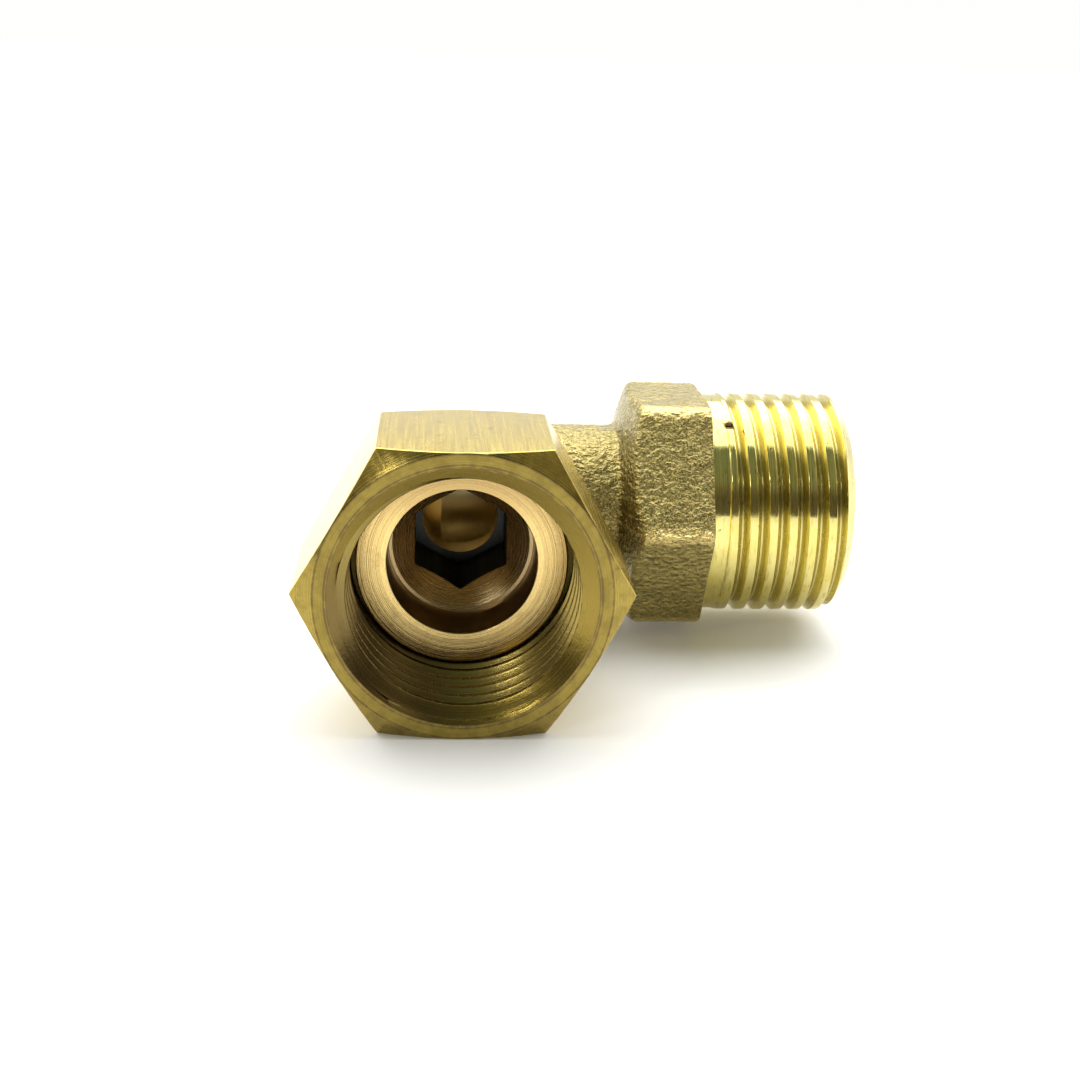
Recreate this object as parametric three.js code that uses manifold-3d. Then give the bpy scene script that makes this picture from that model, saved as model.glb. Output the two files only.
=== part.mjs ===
// A 90 degree swivel union elbow for half-inch pipe, in brass. Millimetres, +Z up.
// The origin is where the axes of the two ports cross. The male port points along +X, and the
// port with the swivel nut points along -Y. "Out" is measured along a port's axis from the origin.
import * as THREE from 'three';
import { mergeVertices } from 'three/addons/utils/BufferGeometryUtils.js';
import Module from 'manifold-3d';

const wasm = await Module();
wasm.setup();

const { degToRad } = THREE.MathUtils;
const acrossCorners = (flats) => (2 * flats) / Math.sqrt(3);

// Fineness of the round surfaces
const ROUND_STEPS = 36;
const SMALL_ROUND_STEPS = 8;
const MERGE_DISTANCE = 1e-5;

// Play between neighbouring pieces
const GAP = 0.3;

// How far a cutting shape runs past the face it opens through, and joined shapes into each other
const OVERRUN = 1;

// Turns that put a hexagon about the Y axis with a flat or a corner upwards
const FLAT_UP = Math.PI / 6;
const CORNER_UP = 0;

// Pipe thread: parallel, 14 turns to the inch, 55 degrees between its flanks
const PITCH = 25.4 / 14;
const THREAD_MAJOR_R = 20.955 / 2;
const THREAD_DEPTH = 0.6403 * PITCH;
const THREAD_MINOR_R = THREAD_MAJOR_R - THREAD_DEPTH;
const THREAD_FLAT = PITCH / 6;
const FLANK_SLOPE = Math.tan(degToRad(27.5));
const GROOVE_OVERCUT = 0.25;

// Swivel nut
const NUT_ACROSS_FLATS = 24;
const NUT_FRONT = 28.6;
const NUT_BACK = 14.1;
const NUT_FACE_R = 11.95;
const NUT_CHAMFER_SLOPE = Math.tan(degToRad(33));
const NUT_SINK_R = 10.77;
const NUT_LIP_FACE = NUT_BACK + 2.2;
const NUT_RELIEF_END = NUT_LIP_FACE + 1.6;
const NUT_RELIEF_R = THREAD_MAJOR_R + 0.15;
const NUT_RELIEF_CHAMFER = 0.3;
const NUT_GROOVE_R = THREAD_MAJOR_R + 0.05;

// Tail sleeve
const TAIL_FACE = 19.4;
const TAIL_FLANGE_R = THREAD_MINOR_R - GAP;
const TAIL_FLANGE_BACK = TAIL_FACE - 2.8;
const TAIL_RIM_CHAMFER = 0.22;
const TAIL_SHANK_R = 7.6;
const TAIL_SCREW_R = 6.3;
const TAIL_BORE_R = 6.37;
const TAIL_BORE_END = TAIL_FACE - 5.4;
const TAIL_STEP_R = 6.07;
const TAIL_CONE_R = 4.48;
const TAIL_CONE_END = TAIL_BORE_END - 1.2;
const SOCKET_ACROSS_FLATS = 8.1;

// Elbow body
const BOSS_R = 9;
const BOSS_FACE = 12.3;
const BOSS_CHAMFER = 0.5;
const BOSS_SWELL_END = 6.27;
const BOSS_ROOT_R = 6.9;
const CORNER_R = 7.9;
const NECK_R = 7.27;
const COLLAR_ACROSS_FLATS = 21;
const COLLAR_START = 14.75;
const COLLAR_DRAFT_END = 15.95;
const COLLAR_DRAFT_R = 11.1;
const COLLAR_BEVEL_END = 16.85;
const COLLAR_FACE = 22.9;
const COLLAR_FACE_R = 11.22;
const COLLAR_FACE_CHAMFER = 1.1;
const BAND_R = 10.35;
const THREAD_START = COLLAR_FACE + 1.5;
const THREAD_FADE_TURNS = 0.4;
const MALE_END = 36.2;
const MALE_END_R = 9.18;
const MALE_CHAMFER = 1.0;
const MALE_BORE_R = 7.2;
const MALE_BORE_END = MALE_END - 13.2;
const MALE_MOUTH_CHAMFER = 0.4;
const CROSS_BORE_R = 4.6;
const CROSS_BORE_END = -1.7;
const DRILL_POINT_SLOPE = 0.6;
const SHOULDER = 6.0;
const SHOULDER_HOLE_R = 3.45;

// Sealing ring, between the tail's shoulder and the floor of a pocket in the boss
const TAIL_SHOULDER = BOSS_FACE + GAP;
const SEAL_SECTION_R = 0.5;
const SEAL_R = TAIL_SCREW_R + GAP + SEAL_SECTION_R;
const SEAL_OUT = TAIL_SHOULDER - GAP - SEAL_SECTION_R;
const SEAL_POCKET_R = SEAL_R + SEAL_SECTION_R + GAP;
const SEAL_POCKET_FLOOR = SEAL_OUT - SEAL_SECTION_R - GAP;

// ---- solids ---------------------------------------------------------------------------------

// A closed three.js geometry as a solid that can be joined and cut
function solid(geometry) {
  const bare = new THREE.BufferGeometry();
  bare.setAttribute('position', geometry.getAttribute('position').clone());
  if (geometry.index) bare.setIndex(geometry.index.clone());
  const merged = mergeVertices(bare, MERGE_DISTANCE);
  const vertProperties = new Float32Array(merged.getAttribute('position').array);
  const triVerts = facingOut(vertProperties, withoutSlivers(merged.index.array));
  return new wasm.Manifold(new wasm.Mesh({ numProp: 3, vertProperties, triVerts }));
}

// Leaves out the triangles that merging has closed to a line, as at a lathe's axis
function withoutSlivers(index) {
  const kept = [];
  for (let i = 0; i < index.length; i += 3) {
    const [a, b, c] = [index[i], index[i + 1], index[i + 2]];
    if (a !== b && b !== c && c !== a) kept.push(a, b, c);
  }
  return new Uint32Array(kept);
}

// Turns every triangle over if the solid is inside out
function facingOut(points, index) {
  const corner = (i) => new THREE.Vector3().fromArray(points, 3 * index[i]);
  let volume = 0;
  for (let i = 0; i < index.length; i += 3) {
    volume += corner(i).dot(corner(i + 1).cross(corner(i + 2)));
  }
  if (volume > 0) return index;
  for (let i = 0; i < index.length; i += 3) [index[i], index[i + 1]] = [index[i + 1], index[i]];
  return index;
}

function geometryOf(shape) {
  const mesh = shape.getMesh();
  const geometry = new THREE.BufferGeometry();
  geometry.setAttribute('position', new THREE.BufferAttribute(mesh.vertProperties, 3));
  geometry.setIndex(new THREE.BufferAttribute(mesh.triVerts, 1));
  return geometry;
}

// Turned shape about the Y axis. Each point is [radius, y], and the outline closes on itself or
// starts and ends on the axis.
function turned(outline) {
  const points = outline.map(([radius, y]) => new THREE.Vector2(radius, y));
  if (points[0].x > 0 || points.at(-1).x > 0) points.push(points[0].clone());
  return new THREE.LatheGeometry(points, ROUND_STEPS);
}

// Solids of shapes that were made about the Y axis: on the male port's axis, with y as the
// distance out, and on the swivel port's axis, with y as the distance out turned negative
const onMaleAxis = (geometry) => solid(geometry.rotateZ(-Math.PI / 2));
const onSwivelAxis = (geometry) => solid(geometry);

// A turned solid on either axis, its points given as [radius, out]
const turnedOnMale = (outline) => onMaleAxis(turned(outline));
const turnedOnSwivel = (outline) => onSwivelAxis(turned(outline.map(([radius, out]) => [radius, -out])));

// Hexagonal prism about the Y axis
function hexPrism(flats, from, to, turn) {
  const cornerR = acrossCorners(flats) / 2;
  const geometry = new THREE.CylinderGeometry(cornerR, cornerR, to - from, 6);
  return geometry.rotateY(turn).translate(0, (from + to) / 2, 0);
}

// The thread groove's outline: narrow at its root, wide where it opens past the bar or bore
function grooveOutline(rootR, openR) {
  const rootHalf = THREAD_FLAT / 2;
  const openHalf = rootHalf + FLANK_SLOPE * Math.abs(openR - rootR);
  return [[rootR, -rootHalf], [rootR, rootHalf], [openR, openHalf], [openR, -openHalf]];
}

// A closed outline of [radius, y] points carried along a right-hand helix about the Y axis. Over
// the first fadeTurns it starts one thread depth further out and comes down to its own radius.
function coil(outline, from, turns, fadeTurns = 0) {
  const steps = Math.ceil(turns * ROUND_STEPS);
  const positions = [];
  for (let step = 0; step <= steps; step += 1) {
    const turn = step / ROUND_STEPS;
    const angle = 2 * Math.PI * turn;
    const lift = fadeTurns > 0 ? THREAD_DEPTH * Math.max(0, 1 - turn / fadeTurns) : 0;
    for (const [r, y] of outline) {
      const radius = r + lift;
      positions.push(radius * Math.sin(angle), from + y + PITCH * turn, radius * Math.cos(angle));
    }
  }
  const geometry = new THREE.BufferGeometry();
  geometry.setAttribute('position', new THREE.Float32BufferAttribute(positions, 3));
  geometry.setIndex(coilFaces(steps, outline.length));
  return geometry;
}

// The faces of a coil: a band of quads for each step, and a fan over each end
function coilFaces(steps, count) {
  const index = [];
  for (let step = 0; step < steps; step += 1) {
    for (let k = 0; k < count; k += 1) {
      const a = step * count + k;
      const b = step * count + ((k + 1) % count);
      index.push(a, b, b + count, a, b + count, a + count);
    }
  }
  const last = steps * count;
  for (let k = 1; k < count - 1; k += 1) {
    index.push(0, k + 1, k, last, last + k, last + k + 1);
  }
  return index;
}

// ---- elbow body -----------------------------------------------------------------------------

// The forged neck, the corner, and the boss that swells out to hold the tail
function forgedElbow() {
  const neck = turnedOnMale([
    [0, 0],
    [NECK_R, 0],
    [NECK_R, COLLAR_START + OVERRUN],
    [0, COLLAR_START + OVERRUN],
  ]);
  const ball = new THREE.SphereGeometry(CORNER_R, ROUND_STEPS / 2, ROUND_STEPS / 4);
  const boss = turnedOnSwivel([
    [0, 0],
    [BOSS_ROOT_R, 0],
    [BOSS_R, BOSS_SWELL_END],
    [BOSS_R, BOSS_FACE - BOSS_CHAMFER],
    [BOSS_R - BOSS_CHAMFER, BOSS_FACE],
    [0, BOSS_FACE],
  ]);
  return neck.add(solid(ball.rotateX(Math.PI / 2))).add(boss);
}

// The forged collar: a hexagon drafted towards the neck, with both its ends bevelled
function collar() {
  const barrelR = acrossCorners(COLLAR_ACROSS_FLATS) / 2 + GAP;
  const prism = hexPrism(COLLAR_ACROSS_FLATS, COLLAR_START, COLLAR_FACE, FLAT_UP);
  const barrel = turnedOnMale([
    [0, COLLAR_START],
    [NECK_R, COLLAR_START],
    [COLLAR_DRAFT_R, COLLAR_DRAFT_END],
    [barrelR, COLLAR_BEVEL_END],
    [barrelR, COLLAR_FACE - COLLAR_FACE_CHAMFER],
    [COLLAR_FACE_R, COLLAR_FACE],
    [0, COLLAR_FACE],
  ]);
  return onMaleAxis(prism).intersect(barrel);
}

// The male side as turned, before its thread is cut
function maleBar() {
  return turnedOnMale([
    [0, COLLAR_FACE - OVERRUN],
    [BAND_R, COLLAR_FACE - OVERRUN],
    [BAND_R, THREAD_START],
    [THREAD_MAJOR_R, THREAD_START + THREAD_MAJOR_R - BAND_R],
    [THREAD_MAJOR_R, MALE_END - MALE_CHAMFER],
    [MALE_END_R, MALE_END],
    [0, MALE_END],
  ]);
}

function maleThreadGroove() {
  const from = THREAD_START + PITCH / 4;
  const turns = (MALE_END - from) / PITCH + 1;
  const outline = grooveOutline(THREAD_MINOR_R, THREAD_MAJOR_R + GROOVE_OVERCUT);
  return onMaleAxis(coil(outline, from, turns, THREAD_FADE_TURNS));
}

// The male port's bore: wide in the thread, narrow in the neck, where it ends in a drill point
function maleBore() {
  return turnedOnMale([
    [0, CROSS_BORE_END - DRILL_POINT_SLOPE * CROSS_BORE_R],
    [CROSS_BORE_R, CROSS_BORE_END],
    [CROSS_BORE_R, MALE_BORE_END - DRILL_POINT_SLOPE * (MALE_BORE_R - CROSS_BORE_R)],
    [MALE_BORE_R, MALE_BORE_END],
    [MALE_BORE_R, MALE_END - MALE_MOUTH_CHAMFER],
    [MALE_BORE_R + MALE_MOUTH_CHAMFER, MALE_END],
    [MALE_BORE_R + MALE_MOUTH_CHAMFER, MALE_END + OVERRUN],
    [0, MALE_END + OVERRUN],
  ]);
}

// The swivel port's bore: a pocket for the sealing ring, the hole that the tail is screwed into,
// and a smaller hole that opens into the male port's bore
function tailHole() {
  return turnedOnSwivel([
    [0, 0],
    [SHOULDER_HOLE_R, 0],
    [SHOULDER_HOLE_R, SHOULDER],
    [TAIL_SCREW_R + GAP, SHOULDER],
    [TAIL_SCREW_R + GAP, SEAL_POCKET_FLOOR],
    [SEAL_POCKET_R, SEAL_POCKET_FLOOR],
    [SEAL_POCKET_R, BOSS_FACE + OVERRUN],
    [0, BOSS_FACE + OVERRUN],
  ]);
}

function elbowBody() {
  return forgedElbow().add(collar()).add(maleBar())
    .subtract(maleBore())
    .subtract(tailHole())
    .subtract(maleThreadGroove());
}

// ---- tail sleeve and sealing ring -----------------------------------------------------------

function tailSleeve() {
  const end = SHOULDER + GAP;
  const outside = turnedOnSwivel([
    [0, end],
    [TAIL_SCREW_R, end],
    [TAIL_SCREW_R, TAIL_SHOULDER],
    [TAIL_SHANK_R, TAIL_SHOULDER],
    [TAIL_SHANK_R, TAIL_FLANGE_BACK],
    [TAIL_FLANGE_R, TAIL_FLANGE_BACK],
    [TAIL_FLANGE_R, TAIL_FACE - TAIL_RIM_CHAMFER],
    [TAIL_FLANGE_R - TAIL_RIM_CHAMFER, TAIL_FACE],
    [0, TAIL_FACE],
  ]);
  const bore = turnedOnSwivel([
    [0, TAIL_CONE_END],
    [TAIL_CONE_R, TAIL_CONE_END],
    [TAIL_STEP_R, TAIL_BORE_END],
    [TAIL_BORE_R, TAIL_BORE_END],
    [TAIL_BORE_R, TAIL_FACE + OVERRUN],
    [0, TAIL_FACE + OVERRUN],
  ]);
  const keySocket = hexPrism(SOCKET_ACROSS_FLATS, -TAIL_BORE_END, -end + OVERRUN, CORNER_UP);
  return outside.subtract(bore).subtract(onSwivelAxis(keySocket));
}

function tailSeal() {
  const section = [];
  for (let step = 0; step < SMALL_ROUND_STEPS; step += 1) {
    const angle = (2 * Math.PI * step) / SMALL_ROUND_STEPS;
    section.push([SEAL_R + SEAL_SECTION_R * Math.cos(angle), SEAL_OUT + SEAL_SECTION_R * Math.sin(angle)]);
  }
  return turnedOnSwivel(section);
}

// ---- swivel nut -----------------------------------------------------------------------------

// The hexagon bar with both ends chamfered to a circle
function nutOutside() {
  const reach = acrossCorners(NUT_ACROSS_FLATS) / 2 + OVERRUN;
  const chamfer = NUT_CHAMFER_SLOPE * (reach - NUT_FACE_R);
  const barrel = turnedOnSwivel([
    [0, NUT_BACK],
    [NUT_FACE_R, NUT_BACK],
    [reach, NUT_BACK + chamfer],
    [reach, NUT_FRONT - chamfer],
    [NUT_FACE_R, NUT_FRONT],
    [0, NUT_FRONT],
  ]);
  const bar = hexPrism(NUT_ACROSS_FLATS, -NUT_FRONT, -NUT_BACK, FLAT_UP);
  return onSwivelAxis(bar).intersect(barrel);
}

// The hole through the lip, the relief groove behind the thread, the minor bore and a countersink
function nutBore() {
  return turnedOnSwivel([
    [0, NUT_BACK - OVERRUN],
    [TAIL_SHANK_R + GAP, NUT_BACK - OVERRUN],
    [TAIL_SHANK_R + GAP, NUT_LIP_FACE],
    [NUT_RELIEF_R, NUT_LIP_FACE],
    [NUT_RELIEF_R, NUT_RELIEF_END - NUT_RELIEF_CHAMFER],
    [THREAD_MINOR_R, NUT_RELIEF_END],
    [THREAD_MINOR_R, NUT_FRONT - (NUT_SINK_R - THREAD_MINOR_R)],
    [NUT_SINK_R, NUT_FRONT],
    [NUT_SINK_R, NUT_FRONT + OVERRUN],
    [0, NUT_FRONT + OVERRUN],
  ]);
}

function nutThreadGroove() {
  const from = -NUT_FRONT - PITCH / 2;
  const reliefMiddle = (NUT_LIP_FACE + NUT_RELIEF_END) / 2;
  const turns = (NUT_FRONT - reliefMiddle) / PITCH + 1 / 2;
  return onSwivelAxis(coil(grooveOutline(NUT_GROOVE_R, THREAD_MINOR_R - GROOVE_OVERCUT), from, turns));
}

function swivelNut() {
  return nutOutside().subtract(nutBore()).subtract(nutThreadGroove());
}

// ---- assembly -------------------------------------------------------------------------------

const forgedBrass = new THREE.MeshStandardMaterial({ color: 0xb59a4a, roughness: 0.45, metalness: 1 });
const turnedBrass = new THREE.MeshStandardMaterial({ color: 0xc9b060, roughness: 0.25, metalness: 1 });
const facedBrass = new THREE.MeshStandardMaterial({ color: 0xd2ab74, roughness: 0.4, metalness: 1 });
const rubber = new THREE.MeshStandardMaterial({ color: 0x1c1c1c, roughness: 0.7, metalness: 0 });

function piece(name, shape, material) {
  const mesh = new THREE.Mesh(geometryOf(shape), material);
  mesh.name = name;
  return mesh;
}

const fitting = new THREE.Group();
fitting.add(
  piece('elbow_body', elbowBody(), forgedBrass),
  piece('tail_sleeve', tailSleeve(), facedBrass),
  piece('tail_seal', tailSeal(), rubber),
  piece('swivel_nut', swivelNut(), turnedBrass),
);

export default fitting;
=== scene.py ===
"""The looks of a half-inch swivel union elbow in brass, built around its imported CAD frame.

Shapes are worked out in millimetres about the axes of the two ports, which cross at the origin:
the swivel port's along -Y and the male port's along +X. A distance "out" is measured along an
axis from that crossing.
"""
import math

import bmesh
import bpy
import numpy as np
import openvdb
from mathutils import Matrix, Vector


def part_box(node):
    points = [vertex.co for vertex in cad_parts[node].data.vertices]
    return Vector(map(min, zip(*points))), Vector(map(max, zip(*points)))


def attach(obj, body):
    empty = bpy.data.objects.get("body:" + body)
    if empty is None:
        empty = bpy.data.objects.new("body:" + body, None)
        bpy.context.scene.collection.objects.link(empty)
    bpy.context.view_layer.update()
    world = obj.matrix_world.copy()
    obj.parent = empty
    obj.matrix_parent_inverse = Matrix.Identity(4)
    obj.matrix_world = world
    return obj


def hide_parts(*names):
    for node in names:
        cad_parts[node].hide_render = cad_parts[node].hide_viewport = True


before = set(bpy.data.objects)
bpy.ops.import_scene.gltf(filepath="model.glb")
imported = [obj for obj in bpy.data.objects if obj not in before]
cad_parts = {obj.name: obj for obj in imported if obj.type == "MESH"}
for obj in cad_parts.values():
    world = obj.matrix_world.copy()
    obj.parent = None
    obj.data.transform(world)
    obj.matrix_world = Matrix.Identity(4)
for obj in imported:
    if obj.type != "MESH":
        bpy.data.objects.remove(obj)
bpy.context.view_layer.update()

MM = 0.001
TAU = 2 * math.pi
SIXTH = TAU / 6


def node_box(node):
    """A CAD node's lowest and highest corners in millimetres."""
    low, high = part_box(node)
    return np.array(low) / MM, np.array(high) / MM


BODY_LOW, BODY_HIGH = node_box("elbow_body")
NUT_LOW, NUT_HIGH = node_box("swivel_nut")
TAIL_LOW, TAIL_HIGH = node_box("tail_sleeve")
SEAL_LOW, SEAL_HIGH = node_box("tail_seal")

# Each port's own directions: two across its axis, then out along it
SWIVEL = np.array([[1, 0, 0], [0, 0, 1], [0, -1, 0]], float)
MALE = np.array([[0, 1, 0], [0, 0, 1], [1, 0, 0]], float)

# Half-inch parallel pipe thread
PITCH = 25.4 / 14
THREAD_MAJOR_R = 20.955 / 2
THREAD_MINOR_R = THREAD_MAJOR_R - 0.6403 * PITCH
THREAD_ROOT_R = THREAD_MAJOR_R - 0.84
FLANK_SLOPE = math.tan(math.radians(27.5))

# Swivel nut
NUT_FRONT = -NUT_LOW[1]
NUT_BACK = -NUT_HIGH[1]
NUT_HALF_FLATS = NUT_HIGH[2]
NUT_CORNER_ROUNDING = 0.16
NUT_FACE_R = NUT_HALF_FLATS - 0.05
NUT_CHAMFER_SLOPE = math.tan(math.radians(33))
NUT_SINK_R = 10.77
NUT_SINK_SLOPE = 1.6
NUT_LIP = NUT_BACK + 2.2
NUT_LIP_R = 7.9
NUT_RELIEF_R = THREAD_MAJOR_R + 0.12
NUT_RELIEF_SLOPE = 3
NUT_THREAD_START = NUT_LIP + 1.3
NUT_THREAD_PHASE = 0.35 * PITCH
NUT_SCORE_R = 11.02
BURR_LENGTH = 0.6
BURR_HEIGHT = 0.09

# Tail sleeve
TAIL_FACE = -TAIL_LOW[1]
TAIL_END = -TAIL_HIGH[1]
TAIL_FLANGE_R = TAIL_HIGH[0]
TAIL_FLANGE_BACK = TAIL_FACE - 2.8
TAIL_SHANK_R = 7.6
TAIL_SHOULDER = 12.6
TAIL_SCREW_R = 6.3
TAIL_BORE_R = 6.37
TAIL_BORE_END = TAIL_FACE - 5.4
TAIL_STEP_R = 6.02
TAIL_CONE_SLOPE = 0.78
SOCKET_HALF_FLATS = 4.05
SOCKET_ROUNDING = 0.12

# Elbow body: the forging
NECK_R = 7.27
BALL_R = 7.75
BOSS_R = 8.9
BOSS_WAIST_R = BALL_R - 0.4
BOSS_SWELL_START = 1
BOSS_SWELL_LENGTH = 5
BOSS_FACE = 12.3
BOSS_BEVEL = 0.45
COLLAR_START = 13.9
NECK_END = COLLAR_START + 4
COLLAR_FACE = 22.9
COLLAR_HALF_FLATS = BODY_HIGH[2]
COLLAR_CORNER_R = COLLAR_HALF_FLATS / math.cos(SIXTH / 2)
FACING_ALLOWANCE = 0.3
PARTING_EDGE = 0.3
WORN_EDGE = 0.8
FLASH_HEIGHT = 0.09
FLASH_HALF_WIDTH = 0.16
SKIN_WAVE = 0.03
SKIN_GRIT = 0.04

# Elbow body: what is cut into it
BAND_R = 10.35
THREAD_START = COLLAR_FACE + 1.5
MALE_THREAD_PHASE = 0.2 * PITCH
RUN_OUT_LENGTH = 0.45 * PITCH
MALE_END = BODY_HIGH[0]
MALE_END_R = 9.18
MALE_CHAMFER = 1.0
MALE_BORE_R = 7.2
MALE_BORE_END = MALE_END - 13.2
MALE_BORE_LEAD = 0.4
DRILL_POINT = 0.6
CROSS_BORE_R = 4.6
CROSS_BORE_END = -1.7
CROSS_BORE_TIP = CROSS_BORE_END - DRILL_POINT * CROSS_BORE_R
SEAL_POCKET_R = 7.9
SEAL_POCKET_FLOOR = 11.0
SCREW_HOLE_R = 6.6
SHOULDER = 6.0
SHOULDER_HOLE_R = 3.45

# The chip in the band, a little way round it from the swivel port's side
CHIP_ANGLE = math.radians(58)
CHIP_TILT = math.radians(30)
CHIP_LENGTH = 1.7
CHIP_WIDTH = 0.9
CHIP_DEPTH = 0.5
CHIP_OUTWARDS = np.array([0, -math.cos(CHIP_ANGLE), math.sin(CHIP_ANGLE)])
CHIP_CENTRE = np.array([THREAD_START + 0.35, 0, 0]) + BAND_R * CHIP_OUTWARDS

# Fineness
ROUND_STEPS = 200
ARC_STEPS = 4
SEAL_STEPS = 144
SEAL_SECTION_STEPS = 24
FORGING_VOXEL = 0.25
WELD = 0.0005 * MM


# ---- meshes ---------------------------------------------------------------------------------

def even_angles(steps=ROUND_STEPS):
    return np.arange(steps) * TAU / steps


def hex_angles(half_flats, rounding, first_flat, along, around=5):
    """Angles round a hexagon: steps of even length along each flat, closer ones round each corner."""
    tangent = (half_flats - rounding) * math.tan(SIXTH / 2)
    flat = np.arctan(np.linspace(-tangent, tangent, along) / half_flats)
    corner = np.linspace(flat[-1], SIXTH + flat[0], around + 1)[1:-1]
    side = np.concatenate([flat, corner])
    return np.concatenate([side + first_flat + k * SIXTH for k in range(6)])


def hex_radius(angles, half_flats, rounding, first_flat):
    """The radius of a hexagon with rounded corners at these angles."""
    off_flat = (angles - first_flat + SIXTH / 2) % SIXTH - SIXTH / 2
    off_corner = SIXTH / 2 - np.abs(off_flat)
    centre = (half_flats - rounding) / math.cos(SIXTH / 2)
    reach = math.atan2(rounding * math.sin(SIXTH / 2), centre + rounding * math.cos(SIXTH / 2))
    under = np.maximum(rounding ** 2 - (centre * np.sin(off_corner)) ** 2, 0)
    round_corner = centre * np.cos(off_corner) + np.sqrt(under)
    return np.where(off_corner < reach, round_corner, half_flats / np.cos(off_flat))


def outline_rows(corners, angles, closed=False, steps=ARC_STEPS):
    """Rows of (radius, out) round an axis that follow an outline of corners (radius, out, rounding).

    A radius or a distance may differ from angle to angle. A rounded corner becomes a small arc.
    """
    points = [np.array([np.broadcast_to(c, angles.shape) for c in corner[:2]]) for corner in corners]
    rows = []
    for k, (corner, point) in enumerate(zip(corners, points)):
        at_end = k in (0, len(corners) - 1) and not closed
        if at_end or corner[2] == 0:
            rows.append(point)
            continue
        rows += arc_rows(points[k - 1], point, points[(k + 1) % len(points)], corner[2], steps)
    return rows


def arc_rows(before, point, after, rounding, steps):
    """Rows that round off the corner at point, tangent to the lines to its neighbours."""
    back, on = before - point, after - point
    back_length, on_length = np.linalg.norm(back, axis=0), np.linalg.norm(on, axis=0)
    back, on = back / np.maximum(back_length, 1e-9), on / np.maximum(on_length, 1e-9)
    half = np.arccos(np.clip((back * on).sum(axis=0), -1, 1)) / 2
    cut = rounding / np.maximum(np.tan(half), 1e-6)
    cut = np.minimum(cut, 0.45 * np.minimum(back_length, on_length))
    start, end = point + back * cut, point + on * cut
    shares = np.linspace(0, 1, steps + 1)
    return [(1 - q) ** 2 * start + 2 * q * (1 - q) * point + q ** 2 * end for q in shares]


def thread_outline(crest_r, root_r, crest_rounding=0.13, root_rounding=0.2):
    """One turn of thread as places along the pitch, from one crest's centre to the next, and radii."""
    flank = FLANK_SLOPE * abs(crest_r - root_r)
    root_half = root_rounding * 0.6
    crest_half = PITCH / 2 - flank - root_half
    at_one_angle = np.zeros(1)
    half = outline_rows([
        (0, crest_r, 0),
        (crest_half, crest_r, crest_rounding),
        (crest_half + flank, root_r, root_rounding),
        (PITCH / 2, root_r, 0),
    ], at_one_angle)
    places = np.array([row[0, 0] for row in half])
    radii = np.array([row[1, 0] for row in half])
    return np.concatenate([places, PITCH - places[-2::-1]]), np.concatenate([radii, radii[-2::-1]])


def thread_radius(outline, out, angles, phase):
    """The thread's radius at these distances and angles, on a right-hand helix."""
    place = (out - PITCH * angles / TAU - phase) % PITCH
    return np.interp(place, *outline)


def helix_rows(outline, angles, start, end, phase, split=3):
    """Distances along a thread, in rows that follow its helix and stop at start and end.

    Returns the rows and how many of them there are to a turn.
    """
    places = outline[0]
    fine = np.concatenate([np.linspace(a, b, split if b - a > 0.15 else 1, endpoint=False)
                           for a, b in zip(places[:-1], places[1:])])
    turns = math.ceil((end - start) / PITCH) + 3
    lead = math.floor((start - phase) / PITCH) - 1
    level = phase + PITCH * (lead + np.arange(turns)[:, None]) + fine[None, :]
    rows = level.reshape(-1, 1) + PITCH * angles[None, :] / TAU
    return np.clip(rows, start, end), len(fine)


def swept(name, port, angles, rows, closed=True, helix=None):
    """A closed mesh of rows of (radius, out) round a port's axis.

    closed joins the last row to the first; otherwise both end on the axis. helix is the first
    and last row of a threaded stretch and its rows to a turn: there a row that goes once round
    meets the row a turn further on.
    """
    radius, out = np.array([r[0] for r in rows]), np.array([r[1] for r in rows])
    across, up, along = port
    points = (np.multiply.outer(radius * np.cos(angles), across)
              + np.multiply.outer(radius * np.sin(angles), up)
              + np.multiply.outer(out, along))
    count, steps = radius.shape
    index = np.arange(count * steps).reshape(count, steps)
    seam = index[:, :1].copy()
    if helix:
        first, last, per_turn = helix
        ahead = np.minimum(np.arange(first, last + 1) + per_turn, last)
        seam[first:last + 1, 0] = index[ahead, 0]
    index = np.hstack([index, seam])
    if closed:
        index = np.vstack([index, index[:1]])
    quads = np.stack([index[:-1, :-1], index[:-1, 1:], index[1:, 1:], index[1:, :-1]], axis=-1)
    return mesh_object(name, points.reshape(-1, 3), quads.reshape(-1, 4))


def weld(mesh):
    """Joins a mesh's doubled points, drops what collapses and points its faces outwards."""
    work = bmesh.new()
    work.from_mesh(mesh)
    bmesh.ops.remove_doubles(work, verts=work.verts, dist=WELD)
    bmesh.ops.dissolve_degenerate(work, edges=work.edges, dist=WELD)
    bmesh.ops.recalc_face_normals(work, faces=work.faces)
    work.to_mesh(mesh)
    work.free()


def mesh_object(name, points, faces):
    """A closed mesh from points in millimetres, with its doubled points welded."""
    mesh = bpy.data.meshes.new(name)
    mesh.from_pydata((points * MM).tolist(), [], faces.tolist())
    weld(mesh)
    piece = bpy.data.objects.new(name, mesh)
    bpy.context.scene.collection.objects.link(piece)
    return piece


def lathe(name, port, corners):
    """A turned solid whose outline starts and ends on the port's axis."""
    angles = even_angles()
    return swept(name, port, angles, outline_rows(corners, angles), closed=False)


def combine(target, other, operation):
    """Joins other to target or cuts it away, and removes it."""
    modifier = target.modifiers.new(operation, "BOOLEAN")
    modifier.operation = operation
    modifier.object = other
    modifier.solver = "MANIFOLD"
    depsgraph = bpy.context.evaluated_depsgraph_get()
    mesh = bpy.data.meshes.new_from_object(target.evaluated_get(depsgraph))
    target.modifiers.clear()
    target.data = mesh
    bpy.data.objects.remove(other)


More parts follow.
